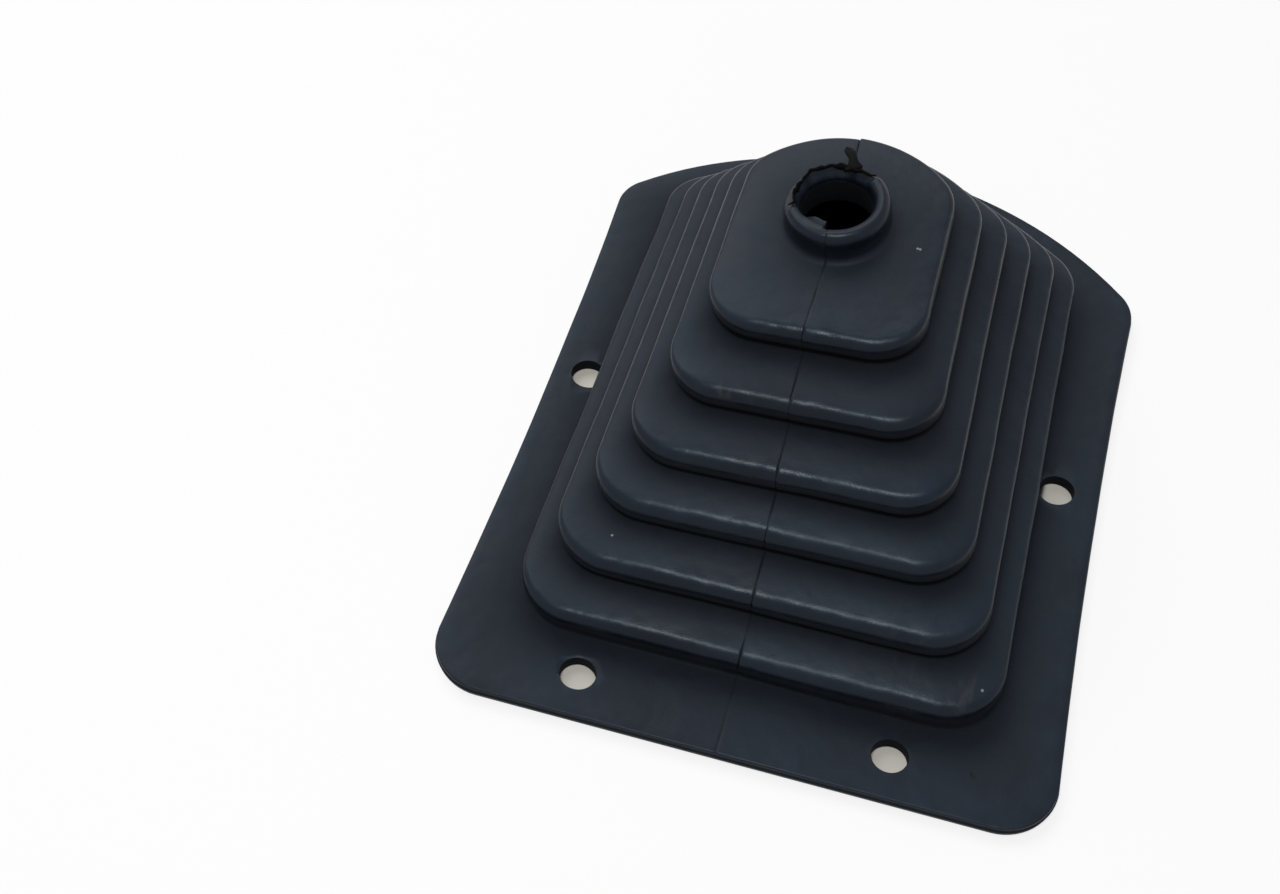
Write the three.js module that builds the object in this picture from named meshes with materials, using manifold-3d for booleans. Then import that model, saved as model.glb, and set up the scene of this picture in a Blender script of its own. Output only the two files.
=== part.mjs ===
// Gear lever gaiter: one piece of moulded rubber.
// A flat mounting flange carries six stepped folds, a cap and a round collar that grips the lever.
// Every ring of the skin is a closed outline of arcs and straight runs at one height. Stacking the
// rings up the outside, down through the collar and back down the inside gives one hollow solid.
import * as THREE from "three";
import { mergeVertices } from "three/addons/utils/BufferGeometryUtils.js";
import Module from "manifold-3d";

// Driving dimensions in millimetres. X is across, Y runs from the front edge to the back.
// Every outline ends in an arch whose radius is the half-width at the back plus the arch value.
// The flange's sides flare by the same amount each, from the back half-width to the front corners.
const FLANGE = {
  thickness: 3.4,
  halfBack: 68.4,
  flare: 5.1,
  waist: 2,
  length: 180.6,
  frontCorner: 13,
  shoulder: 10,
  arch: 30.4,
  edgeRound: 0.8,
};

// The screw holes are three pairs, each punched a little to the left of the middle.
const SCREW_HOLE = { radius: 4.4, overcut: 1 };
const FRONT_HOLES = { x: 36.9, fromFront: 10.6, off: -2.1 };
const SIDE_HOLES = { fromSide: 9.7, behindMiddle: 2.1, off: -0.7 };
const BACK_HOLES = { x: 34, fromArch: 7.1, off: -1.2 };

// The folds are counted from the top, and each entry is a fold's distance from the front edge.
const FOLD_FRONT = [76.3, 63.2, 51, 41.2, 29.9, 19.3];
// A fold is a rounded lip over a plumb rim, a groove under the rim and a tread that falls to the
// next lip. Each fold is narrower and shorter than the one below it by the side and back steps.
const FOLD = {
  pitch: 10,
  sideStep: 6,
  backStep: 6.7,
  treadFall: 2.5,
  groove: 1.3,
  neck: 2.4,
  lipRadius: 2.1,
  rimRadius: 1,
};
const TOP_CURVES = { frontCorner: 12.5, shoulder: 12, arch: 4.4 };
const LOW_CURVES = { frontCorner: 14, shoulder: 12, arch: 33.5 };
const SIDE_TAPER = 0.034;
const SIDE_END = 24;

// Where the lowest fold stands on the flange, and the fillet at its foot.
const BASE = { sideMargin: 13, backMargin: 10.2, fillet: 2 };

// The wall behind the folds. It steps in above each groove, and its corners are eased.
const INSIDE = { wall: 2.6, shelf: 1.5, lipEase: 0.2, roofEase: 0.2, treadEase: 0.7 };

// The cap rises to the collar, whose rim is a rounded bead around the lever bore.
const COLLAR = {
  behindMiddle: 2.1,
  capRise: 1.9,
  height: 7.8,
  bore: 8.3,
  wall: 4.1,
  bead: 2.9,
  floor: 3,
  fillet: 0.5,
  boreEase: 0.8,
};

// The stack stands a little left of the flange's middle. It is soft, so it also leans that way,
// more with height, and its upper folds tip with it. Shift and tip are those of the top lip.
const STACK_MIDDLE = -1.2;
const LEAN = { shift: 5, tip: THREE.MathUtils.degToRad(6), growth: 1.6 };

// Straight steps in each stretch of an outline: half the front, a corner, a side, a shoulder and
// half the arch. The bead and the screw holes have their own.
const STEPS = { front: 3, corner: 8, side: 5, shoulder: 6, arch: 7, bead: 8, hole: 28 };

const RUBBER = new THREE.MeshStandardMaterial({ color: 0x24282c, roughness: 0.62, metalness: 0 });

// The centres of an outline's arcs, which stay where they are when the outline grows.
// The shoulder arc touches the side and lies inside the arch circle, which it also touches.
function centres(shape) {
  const archRadius = shape.halfBack + shape.arch;
  const archY = shape.back - archRadius;
  const shoulderX = shape.halfBack - shape.shoulder;
  const shoulderY = archY + Math.sqrt((archRadius - shape.shoulder) ** 2 - shoulderX ** 2);
  const meet = Math.atan2(shoulderY - archY, shoulderX);
  const cornerX = shape.halfFront - shape.frontCorner;
  const cornerY = shape.front + shape.frontCorner;
  return { archRadius, archY, shoulderX, shoulderY, meet, cornerX, cornerY };
}

// Half-width of an outline's side at y. The flange's side bows in, a fold's is straight.
function sideX(shape, y) {
  const { shoulderY, cornerY } = centres(shape);
  const run = Math.max((shoulderY - y) / (shoulderY - cornerY), 0);
  return shape.halfBack + (shape.halfFront - shape.halfBack) * run ** shape.waist;
}

// Points of one outline, counterclockwise from the middle of the front edge.
function outline(shape, grow = 0) {
  const { archRadius, archY, shoulderX, shoulderY, meet, cornerX, cornerY } = centres(shape);
  const right = [];
  const add = (x, y) => right.push(new THREE.Vector2(x, y));
  const arc = (cx, cy, radius, from, to, steps) => {
    for (let i = 1; i <= steps; i++) {
      const angle = from + ((to - from) * i) / steps;
      add(cx + radius * Math.cos(angle), cy + radius * Math.sin(angle));
    }
  };
  for (let i = 0; i <= STEPS.front; i++) {
    add((cornerX * i) / STEPS.front, shape.front - grow);
  }
  arc(cornerX, cornerY, shape.frontCorner + grow, -Math.PI / 2, 0, STEPS.corner);
  for (let i = 1; i <= STEPS.side; i++) {
    const y = cornerY + ((shoulderY - cornerY) * i) / STEPS.side;
    add(sideX(shape, y) + grow, y);
  }
  arc(shoulderX, shoulderY, shape.shoulder + grow, 0, meet, STEPS.shoulder);
  arc(0, archY, archRadius + grow, meet, Math.PI / 2, STEPS.arch);
  const left = right.slice(1, -1).reverse();
  return [...right, ...left.map((p) => new THREE.Vector2(-p.x, p.y))];
}

const FLANGE_SHAPE = {
  ...FLANGE,
  halfFront: FLANGE.halfBack + FLANGE.flare,
  front: 0,
  back: FLANGE.length,
};
const LOWEST = FOLD_FRONT.length - 1;
const RIM_HEIGHT = FOLD.pitch - FOLD.treadFall - FOLD.groove;

function foldShape(index) {
  const above = LOWEST - index;
  const curve = (key) => THREE.MathUtils.lerp(LOW_CURVES[key], TOP_CURVES[key], above / LOWEST);
  const half = FLANGE.halfBack - BASE.sideMargin - FOLD.sideStep * above;
  const halfAt = (y) => half - SIDE_TAPER * (y - FLANGE.length / 2);
  const front = FOLD_FRONT[index];
  const back = FLANGE.length - BASE.backMargin - FOLD.backStep * above;
  return {
    front,
    back,
    halfFront: halfAt(front + curve("frontCorner")),
    halfBack: halfAt(back - SIDE_END),
    waist: 1,
    frontCorner: curve("frontCorner"),
    shoulder: curve("shoulder"),
    arch: curve("arch"),
  };
}

// The lowest groove ends at the top of the foot fillet, and every lip is a pitch above the last.
function lipHeight(index) {
  return BASE.fillet + FOLD.pitch * (LOWEST + 1 - index) - FOLD.treadFall;
}

const CAP = foldShape(0);
const COLLAR_Y = (CAP.front + CAP.back) / 2 + COLLAR.behindMiddle;

// A circle around the collar's axis with its points at the same bearings as the cap's outline.
function circle(radius) {
  return outline(CAP).map((p) => {
    const bearing = Math.atan2(p.y - COLLAR_Y, p.x);
    return new THREE.Vector2(radius * Math.cos(bearing), COLLAR_Y + radius * Math.sin(bearing));
  });
}

const flatRing = (points, height) => points.map((p) => new THREE.Vector3(p.x, p.y, height));

// A ring of the stack, leaned and tipped by its height.
function stackRing(points, height) {
  const rise = Math.max(height, 0) / lipHeight(0);
  const middle = STACK_MIDDLE - LEAN.shift * rise ** LEAN.growth;
  const tip = LEAN.tip * rise;
  return points.map(
    (p) => new THREE.Vector3(middle + p.x * Math.cos(tip), p.y, height + p.x * Math.sin(tip)),
  );
}

// A quarter round of a section: start, middle and end, as [step outwards, height].
function quarter(out, up, radius, from, to) {
  return [from, (from + to) / 2, to].map((angle) => [
    out + radius * Math.cos(angle),
    up + radius * Math.sin(angle),
  ]);
}

// The sections run downwards. A step is measured from the fold's rim and a height from its lip.
function outsideSection() {
  const { lipRadius, rimRadius, neck, treadFall, pitch } = FOLD;
  return [
    ...quarter(-lipRadius, -lipRadius, lipRadius, Math.PI / 2, 0),
    ...quarter(-rimRadius, rimRadius - RIM_HEIGHT, rimRadius, 0, -Math.PI / 2),
    [-neck, -RIM_HEIGHT],
    [-neck, treadFall - pitch],
  ];
}

function insideSection() {
  const { wall, shelf, lipEase, roofEase, treadEase } = INSIDE;
  const back = -FOLD.neck - wall;
  return [
    [-wall, lipEase - wall],
    [-wall, shelf - RIM_HEIGHT],
    [back, -RIM_HEIGHT - roofEase],
    [back, FOLD.treadFall - FOLD.pitch - wall + treadEase],
  ];
}

function foldRings(section, index) {
  const shape = foldShape(index);
  return section.map(([out, up]) => stackRing(outline(shape, out), lipHeight(index) + up));
}

function flangeRings() {
  const round = FLANGE.edgeRound;
  const low = -FLANGE.thickness;
  return [
    flatRing(outline(FLANGE_SHAPE, -round), low),
    flatRing(outline(FLANGE_SHAPE), low + round),
    flatRing(outline(FLANGE_SHAPE), -round),
    flatRing(outline(FLANGE_SHAPE, -round), 0),
  ];
}

// The fillet from the flange up to the lowest groove, whose own ring is its last point.
function footRings() {
  const { fillet } = BASE;
  const section = quarter(fillet - FOLD.neck, fillet, fillet, -Math.PI / 2, -Math.PI);
  const shape = foldShape(LOWEST);
  return section.slice(0, -1).map(([out, up]) => stackRing(outline(shape, out), up));
}

function collarRings() {
  const outer = COLLAR.bore + COLLAR.wall;
  const halfWall = COLLAR.wall / 2;
  const foot = lipHeight(0) + COLLAR.capRise;
  const shoulder = foot + COLLAR.height - COLLAR.bead;
  const floor = foot - COLLAR.floor;
  const rings = [
    stackRing(circle(outer + COLLAR.fillet), foot),
    stackRing(circle(outer), foot + COLLAR.fillet),
  ];
  for (let i = 0; i <= STEPS.bead; i++) {
    const angle = (Math.PI * i) / STEPS.bead;
    const radius = COLLAR.bore + halfWall + halfWall * Math.cos(angle);
    rings.push(stackRing(circle(radius), shoulder + COLLAR.bead * Math.sin(angle)));
  }
  rings.push(stackRing(circle(COLLAR.bore), floor + COLLAR.boreEase));
  rings.push(stackRing(circle(COLLAR.bore + COLLAR.boreEase), floor));
  return rings;
}

// The whole skin as a list of rings, from the flange's underside round to the mouth below.
// The lowest fold opens through the flange, so its inside has no tread and ends in the mouth.
function skinRings() {
  const folds = [...FOLD_FRONT.keys()];
  const outside = outsideSection().reverse();
  const inside = insideSection();
  const mouth = inside.at(-1)[0];
  return [
    ...flangeRings(),
    ...footRings(),
    ...folds.toReversed().flatMap((index) => foldRings(outside, index)),
    ...collarRings(),
    ...folds.slice(0, -1).flatMap((index) => foldRings(inside, index)),
    ...foldRings(inside.slice(0, -1), LOWEST),
    stackRing(outline(foldShape(LOWEST), mouth), -FLANGE.thickness),
  ];
}

// Joins each ring to the next and the last to the first.
function skinGeometry(rings) {
  const count = rings[0].length;
  const index = [];
  rings.forEach((_, ring) => {
    const next = (ring + 1) % rings.length;
    for (let i = 0; i < count; i++) {
      const j = (i + 1) % count;
      const [a, b] = [ring * count + i, ring * count + j];
      const [c, d] = [next * count + i, next * count + j];
      index.push(a, b, d, a, d, c);
    }
  });
  const geometry = new THREE.BufferGeometry().setFromPoints(rings.flat());
  geometry.setIndex(index);
  return geometry;
}

const wasm = await Module();
wasm.setup();

function toSolid(geometry) {
  const bare = geometry.clone();
  bare.deleteAttribute("normal");
  bare.deleteAttribute("uv");
  const merged = mergeVertices(bare, 1e-4);
  return new wasm.Manifold(
    new wasm.Mesh({
      numProp: 3,
      vertProperties: new Float32Array(merged.attributes.position.array),
      triVerts: new Uint32Array(merged.index.array),
    }),
  );
}

function toGeometry(solid) {
  const mesh = solid.getMesh();
  const geometry = new THREE.BufferGeometry();
  geometry.setAttribute("position", new THREE.BufferAttribute(mesh.vertProperties, 3));
  geometry.setIndex(new THREE.BufferAttribute(mesh.triVerts, 1));
  geometry.computeVertexNormals();
  return geometry;
}

// Centres of the six screw holes, each pair held to the flange edge that it follows.
function screwHoles() {
  const { archRadius, archY } = centres(FLANGE_SHAPE);
  const sideY = FLANGE.length / 2 + SIDE_HOLES.behindMiddle;
  const archOfHoles = archRadius - BACK_HOLES.fromArch;
  const pairs = [
    { ...FRONT_HOLES, y: FRONT_HOLES.fromFront },
    { ...SIDE_HOLES, x: sideX(FLANGE_SHAPE, sideY) - SIDE_HOLES.fromSide, y: sideY },
    { ...BACK_HOLES, y: archY + Math.sqrt(archOfHoles ** 2 - BACK_HOLES.x ** 2) },
  ];
  return pairs.flatMap(({ x, y, off }) => [
    [off - x, y],
    [off + x, y],
  ]);
}

// A screw hole's cutter stands through the flange and clears the foot fillet beside it.
function screwHoleSolid(x, y) {
  const { radius, overcut } = SCREW_HOLE;
  const height = FLANGE.thickness + 2 * overcut;
  const cutter = new THREE.CylinderGeometry(radius, radius, height, STEPS.hole);
  cutter.rotateX(Math.PI / 2);
  cutter.translate(x, y, -FLANGE.thickness / 2);
  return toSolid(cutter);
}

function gaiterGeometry() {
  let solid = toSolid(skinGeometry(skinRings()));
  for (const [x, y] of screwHoles()) {
    solid = solid.subtract(screwHoleSolid(x, y));
  }
  return toGeometry(solid);
}

const gaiter = new THREE.Mesh(gaiterGeometry(), RUBBER);
gaiter.name = "rubber_gaiter";

// The part's frame: X and Y centred on the flange, Z up from its underside.
const part = new THREE.Group();
gaiter.position.set(0, -FLANGE.length / 2, FLANGE.thickness);
part.add(gaiter);

export default part;
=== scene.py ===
# %% [markdown]
# # A gear lever gaiter in moulded rubber
# The gaiter is a soft stepped boot that closes the floor around a gear lever. It is one moulding: a
# flat flange with six screw holes, six folds that let it bend, a cap, and a collar that grips the
# lever. The packed solid is the plain moulding. This script draws the same moulding once more with
# its fine surface, checks its size against the packed one and dresses it in rubber.

# %% Load the packed frame
from types import SimpleNamespace as Sizes

import bpy
import numpy as np
from mathutils import Matrix, Vector


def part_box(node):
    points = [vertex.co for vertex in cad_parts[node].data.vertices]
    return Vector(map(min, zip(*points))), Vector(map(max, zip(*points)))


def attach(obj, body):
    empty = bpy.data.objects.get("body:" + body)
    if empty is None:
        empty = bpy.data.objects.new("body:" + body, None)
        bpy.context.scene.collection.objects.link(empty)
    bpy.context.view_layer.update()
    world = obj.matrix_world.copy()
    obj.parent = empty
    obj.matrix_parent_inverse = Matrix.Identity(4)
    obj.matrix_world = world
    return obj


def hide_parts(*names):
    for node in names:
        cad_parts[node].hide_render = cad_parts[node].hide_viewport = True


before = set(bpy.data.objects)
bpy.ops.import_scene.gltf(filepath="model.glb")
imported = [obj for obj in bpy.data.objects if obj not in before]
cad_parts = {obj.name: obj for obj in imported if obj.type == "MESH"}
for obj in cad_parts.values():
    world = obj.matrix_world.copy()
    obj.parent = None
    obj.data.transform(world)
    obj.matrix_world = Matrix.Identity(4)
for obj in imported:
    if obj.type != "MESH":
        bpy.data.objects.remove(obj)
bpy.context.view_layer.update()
NODE = "rubber_gaiter"
node_low, node_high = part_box(NODE)

# %% [markdown]
# ## The sizes of the moulding
# Everything below is in millimetres, with y = 0 at the flange's front edge and z = 0 on the flange's
# top, because that is how a moulding like this is drawn. One function turns it into metres in the
# frame. Each outline is a front edge, two round corners, two sides, two shoulders and an arch.

# %% Sizes in millimetres
FLANGE = Sizes(
    thickness=3.4,
    half_front=73.5,
    half_back=68.4,
    bow=2,
    front=0.0,
    back=180.6,
    corner=13.0,
    shoulder=10.0,
    arch=30.4,
)
FOLD_FRONT = [76.3, 63.2, 51.0, 41.2, 29.9, 19.3]
LOWEST = len(FOLD_FRONT) - 1
FOLD = Sizes(
    pitch=10.0,
    side_step=6.0,
    back_step=6.7,
    tread_fall=2.5,
    groove=1.3,
    neck=2.4,
    lip_drop=0.4,
)
TOP_CURVES = Sizes(corner=12.5, shoulder=12.0, arch=4.4)
LOW_CURVES = Sizes(corner=14.0, shoulder=12.0, arch=33.5)
SIDE_TAPER = 0.034
SIDE_END = 24.0
BASE = Sizes(side_margin=13.0, back_margin=10.2, fillet=2.0)
INSIDE = Sizes(wall=2.6, shelf=1.5, lip_ease=0.2, roof_ease=0.2, tread_ease=0.7)
COLLAR = Sizes(
    behind_middle=2.1,
    cap_rise=1.9,
    height=7.8,
    bore=8.3,
    wall=4.1,
    bead=2.9,
    plain=3.4,
    floor=3.0,
)
STACK_MIDDLE = -1.2
LEAN = Sizes(shift=5.0, tip=np.radians(6), growth=1.6)
RIM_HEIGHT = FOLD.pitch - FOLD.tread_fall - FOLD.groove
MM = 0.001
length = (node_high - node_low).y / MM
print("frame length", round(length, 2), "against the drawn", FLANGE.back)

# %% [markdown]
# ## One outline
# An outline could be a Bezier curve, but then every ring would get its own number of points. Here
# it is worked out with numpy at fixed shares of each stretch, so every ring has the same columns and
# neighbouring rings can be joined into a grid. The columns crowd together at the middle of the front
# and of the back, where the mould's parting line needs a fine mesh.

# %% Shares of each stretch
FRONT_RUN = np.linspace(0, 1, 31) ** 2
CORNER_RUN = np.linspace(0, 1, 15)[1:]
SIDE_RUN = np.linspace(0, 1, 25)[1:]
SHOULDER_RUN = np.linspace(0, 1, 13)[1:]
ARCH_RUN = 1 - (1 - np.linspace(0, 1, 31)[1:]) ** 2
BACK_COLUMN = sum(map(len, (FRONT_RUN, CORNER_RUN, SIDE_RUN, SHOULDER_RUN, ARCH_RUN))) - 1
COLUMNS = 2 * BACK_COLUMN
print("columns in each ring:", COLUMNS)


# %% The outline function
def centres(shape):
    """Centres of an outline's arcs. The shoulder arc touches the side and, inside, the arch circle."""
    arch_radius = shape.half_back + shape.arch
    arch_y = shape.back - arch_radius
    shoulder_x = shape.half_back - shape.shoulder
    shoulder_y = arch_y + np.sqrt((arch_radius - shape.shoulder) ** 2 - shoulder_x**2)
    return Sizes(
        arch_radius=arch_radius,
        arch_y=arch_y,
        shoulder_x=shoulder_x,
        shoulder_y=shoulder_y,
        meet=np.arctan2(shoulder_y - arch_y, shoulder_x),
        corner_x=shape.half_front - shape.corner,
        corner_y=shape.front + shape.corner,
    )


def arc(x, y, radius, start, end, share):
    """Points at (x + r cos a, y + r sin a), with the angle a running from start to end by share."""
    angle = start + (end - start) * share
    return np.stack([x + radius * np.cos(angle), y + radius * np.sin(angle)], axis=1)


def half_outline(shape, grow, seam):
    """The right half, from the parting line at x = seam in front to the parting line at the back.

    The side's half-width is half_back + (half_front - half_back) (1 - share) to the power of bow.
    """
    c = centres(shape)
    front_x = seam + (c.corner_x - seam) * FRONT_RUN
    side_x = shape.half_back + (shape.half_front - shape.half_back) * (1 - SIDE_RUN) ** shape.bow
    side_y = c.corner_y + (c.shoulder_y - c.corner_y) * SIDE_RUN
    radius = c.arch_radius + grow
    return np.concatenate(
        [
            np.stack([front_x, np.full_like(front_x, shape.front - grow)], axis=1),
            arc(c.corner_x, c.corner_y, shape.corner + grow, -np.pi / 2, 0, CORNER_RUN),
            np.stack([side_x + grow, side_y], axis=1),
            arc(c.shoulder_x, c.shoulder_y, shape.shoulder + grow, 0, c.meet, SHOULDER_RUN),
            arc(0, c.arch_y, radius, c.meet, np.arccos(seam / radius), ARCH_RUN),
        ]
    )


def outline(shape, grow=0.0, seam=0.0):
    """A whole outline moved outwards by grow: the right half, then the left half mirrored."""
    right = half_outline(shape, grow, seam)
    left = half_outline(shape, grow, -seam)[1:-1][::-1] * [-1, 1]
    return np.concatenate([right, left])


print("the flange's outline spans", np.round(np.ptp(outline(FLANGE), axis=0), 1).tolist(), "mm")

# %% [markdown]
# ## Folds, lean and parting line
# Each fold is the fold below made narrower and shorter by a fixed step. The boot in the photograph
# is soft and rests a little to one side, so every ring is shifted and tipped by its height. The
# parting line wanders as the boot leans, and each ring starts its columns on it.

# %% Where each ring goes
SEAM = Sizes(flange=-3.4, foot=-2.3, cap=-0.9, collar=0.2)


def fold(index):
    """The outline sizes of one fold, counted from the top, between the lowest and the top curves."""
    above = LOWEST - index
    share = above / LOWEST
    curves = {
        key: low + (getattr(TOP_CURVES, key) - low) * share for key, low in vars(LOW_CURVES).items()
    }
    half = FLANGE.half_back - BASE.side_margin - FOLD.side_step * above
    back = FLANGE.back - BASE.back_margin - FOLD.back_step * above
    front = FOLD_FRONT[index]
    return Sizes(
        front=front,
        back=back,
        half_front=half - SIDE_TAPER * (front + curves["corner"] - FLANGE.back / 2),
        half_back=half - SIDE_TAPER * (back - SIDE_END - FLANGE.back / 2),
        bow=1,
        **curves,
    )


def lip_height(index):
    """Every lip is a pitch above the one below it, and the lowest groove ends on the foot fillet."""
    return BASE.fillet + FOLD.pitch * (LOWEST + 1 - index) - FOLD.tread_fall


def leaned(points, height):
    """A flat ring at its height, shifted by rise to the power of growth and tipped in proportion."""
    rise = np.maximum(height, 0) / lip_height(0)
    tip = LEAN.tip * rise
    middle = STACK_MIDDLE - LEAN.shift * rise**LEAN.growth
    x, y = points.T
    return np.stack([middle + x * np.cos(tip), y, height + x * np.sin(tip)], axis=1)


def seam_at(height):
    """The parting line's place in a ring, straight between its foot and its top."""
    return SEAM.foot + (SEAM.cap - SEAM.foot) * max(height, 0) / lip_height(0)


def flange_ring(grow, height):
    """The flange's outline moved outwards by grow, at a height. The flange neither leans nor tips."""
    points = outline(FLANGE, grow, SEAM.flange)
    return np.column_stack([points, np.full(len(points), height)])


def fold_ring(index, out, up):
    """A ring stepped outwards from a fold's rim, at a height measured from its lip."""
    height = lip_height(index) + up
    return leaned(outline(fold(index), out, seam_at(height)), height)


def collar_y():
    """The collar's axis, a little behind the middle of the cap."""
    cap = fold(0)
    return (cap.front + cap.back) / 2 + COLLAR.behind_middle


def round_collar(bearing, radius, height):
    """Points at bearings about the collar's axis, leaned. Radius and height may vary with them."""
    x, y = radius * np.cos(bearing), radius * np.sin(bearing)
    return leaned(np.stack([x, collar_y() + y], axis=1), height)


print("lips at", [lip_height(i) for i in range(LOWEST + 1)], "collar at y", round(collar_y(), 1))

# %% [markdown]
# ## A crest that has been torn
# The collar is moulded closed and torn open, and the photograph shows what that leaves. At the back
# the round bead has come away to a ragged edge, and inside the front left a ledge of thin rubber
# stays in the bore. Both are functions of the bearing about the collar's axis, in degrees from +X.

# %% The crest as a function of the bearing
TORN = Sizes(start=50, end=202, blend=12, radius=9.9, ragged=0.6, drop=0.3, chip=0.4, funnel=2.6)
LEDGE = Sizes(
    start=200,
    full=240,
    end=262,
    gone=267,
    width=2.1,
    ragged=0.3,
    down=1.0,
    elsewhere=3.3,
    slope=0.1,
    thickness=0.8,
    foot=1.0,
)


def smooth(x):
    """0 below 0, 1 above 1 and 3 x^2 - 2 x^3 between."""
    x = np.clip(x, 0, 1)
    return x * x * (3 - 2 * x)


def ragged(bearing, seed, waves=(4, 9, 15, 26, 47)):
    """Sines that go round the collar a whole number of times, added up to lie between -1 and 1."""
    phases = np.random.default_rng(seed).uniform(0, 2 * np.pi, len(waves))
    weights = np.array([1.0, 0.8, 0.5, 0.3, 0.15])
    parts = [w * np.sin(n * bearing + p) for n, p, w in zip(waves, phases, weights)]
    return sum(parts) / weights.sum()


def torn_share(bearing):
    """1 where the crest is torn and 0 where the bead is whole."""
    degrees = np.degrees(bearing)
    return smooth(np.minimum(degrees - TORN.start, TORN.end - degrees) / TORN.blend + 0.5)


def ledge_share(bearing):
    """1 where the ledge has its full width and 0 where there is none."""
    degrees = np.degrees(bearing)
    rising = smooth((degrees - LEDGE.start) / (LEDGE.full - LEDGE.start))
    return rising * smooth((LEDGE.gone - degrees) / (LEDGE.gone - LEDGE.end))


def torn_crest(bearing):
    """Radius and height of the crest's outer edge, drawn in and chipped where it is torn."""
    torn = torn_share(bearing)
    outer = COLLAR.bore + COLLAR.wall
    drawn_in = outer - TORN.radius - TORN.ragged * ragged(bearing, 5)
    chipped = TORN.drop + TORN.chip * ragged(bearing, 8)
    top = lip_height(0) + COLLAR.cap_rise + COLLAR.height
    return outer - torn * drawn_in, top - torn * chipped


cap_outline = outline(fold(0), 0.0, SEAM.collar)
BEARINGS = np.arctan2(cap_outline[:, 1] - collar_y(), cap_outline[:, 0]) % (2 * np.pi)
print("columns with a torn crest:", int((torn_share(BEARINGS) > 0.5).sum()))

# %% [markdown]
# ## The section, corner by corner
# A lathe profile can't make this skin, because its outline isn't round. Instead the section is a
# closed list of corners, each a ring: round the flange, up the outside, over the collar and back
# down the inside. Each corner carries how far it is rounded and four marks from 0 up for the
# material, so that it can later find the lips, the grooves and the torn edge. The groove mark is
# painted shade: it darkens the grooves, the rims under the lips and the bore.
# The fourth, hidden, keeps the relief off the inside and the underside.


# %% Corners of the section
def corner(ring, trim=0.0, steps=0, lip=0.0, groove=0.0, hidden=0.0, torn=0.0):
    """One corner. A pair of trims rounds the side before it and the side after it differently."""
    before, after = trim if isinstance(trim, tuple) else (trim, trim)
    marks = [lip, groove, hidden, torn]
    return Sizes(ring=ring, before=before, after=after, steps=steps, marks=marks)


FLASH = Sizes(out=0.25, bottom=0.6, middle=0.5, top=0.42)


def flange_corners():
    """The flange from its underside to the foot fillet, with a fine flash line round its edge.

    The flash line's heights are shares of the flange's thickness, measured down from its top.
    """
    t = FLANGE.thickness
    # The groove marks on the flange's edge and on the foot fillet are painted shade that darkens them.
    return [
        corner(flange_ring(0, -t), 0.5, 3, hidden=1),
        corner(flange_ring(0, -FLASH.bottom * t), groove=1),
        corner(flange_ring(FLASH.out, -FLASH.middle * t), lip=0.4, groove=0.8),
        corner(flange_ring(0, -FLASH.top * t), groove=0.8),
        corner(flange_ring(0, 0), 0.42, 4),
        corner(fold_ring(LOWEST, -FOLD.neck, -lip_height(LOWEST)), BASE.fillet, 5, groove=0.8),
    ]


def mixed(share, first, second):
    """first where the share is 0 and second where it is 1, column by column."""
    return first + (second - first) * share


LIP_TRIMS = Sizes(front=(2.5, 2.9), side=(1.0, 1.2))


def lip_trims():
    """How far a lip is rounded, column by column: widely in front, tightly from the sides back."""
    column = np.arange(COLUMNS)
    from_seam = np.minimum(column, COLUMNS - column)
    share = smooth((from_seam - len(FRONT_RUN)) / len(CORNER_RUN))
    return tuple(mixed(share, f, s) for f, s in zip(LIP_TRIMS.front, LIP_TRIMS.side))


def fold_outside(index):
    """Neck foot, groove roof, rim foot and lip. The lowest neck foot is the flange's own fillet."""
    # The groove marks are painted shade: the tread by the neck, the groove and the rim under the lip.
    foot = corner(fold_ring(index, -FOLD.neck, FOLD.tread_fall - FOLD.pitch), 0.7, 3, groove=1.1)
    return [foot][: index < LOWEST] + [
        corner(fold_ring(index, -FOLD.neck, -RIM_HEIGHT), 0.35, 2, groove=1.2),
        corner(fold_ring(index, 0, -RIM_HEIGHT), 1.7, 5, groove=1.05),
        corner(fold_ring(index, 0, -FOLD.lip_drop), lip_trims(), 9, lip=1),
    ]


print("corners of one fold's outside:", len(fold_outside(0)))


# %% Corners of the collar
def collar_ring(radius, height):
    """A ring of the collar, with one point for each column."""
    return round_collar(BEARINGS, radius, height)


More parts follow.
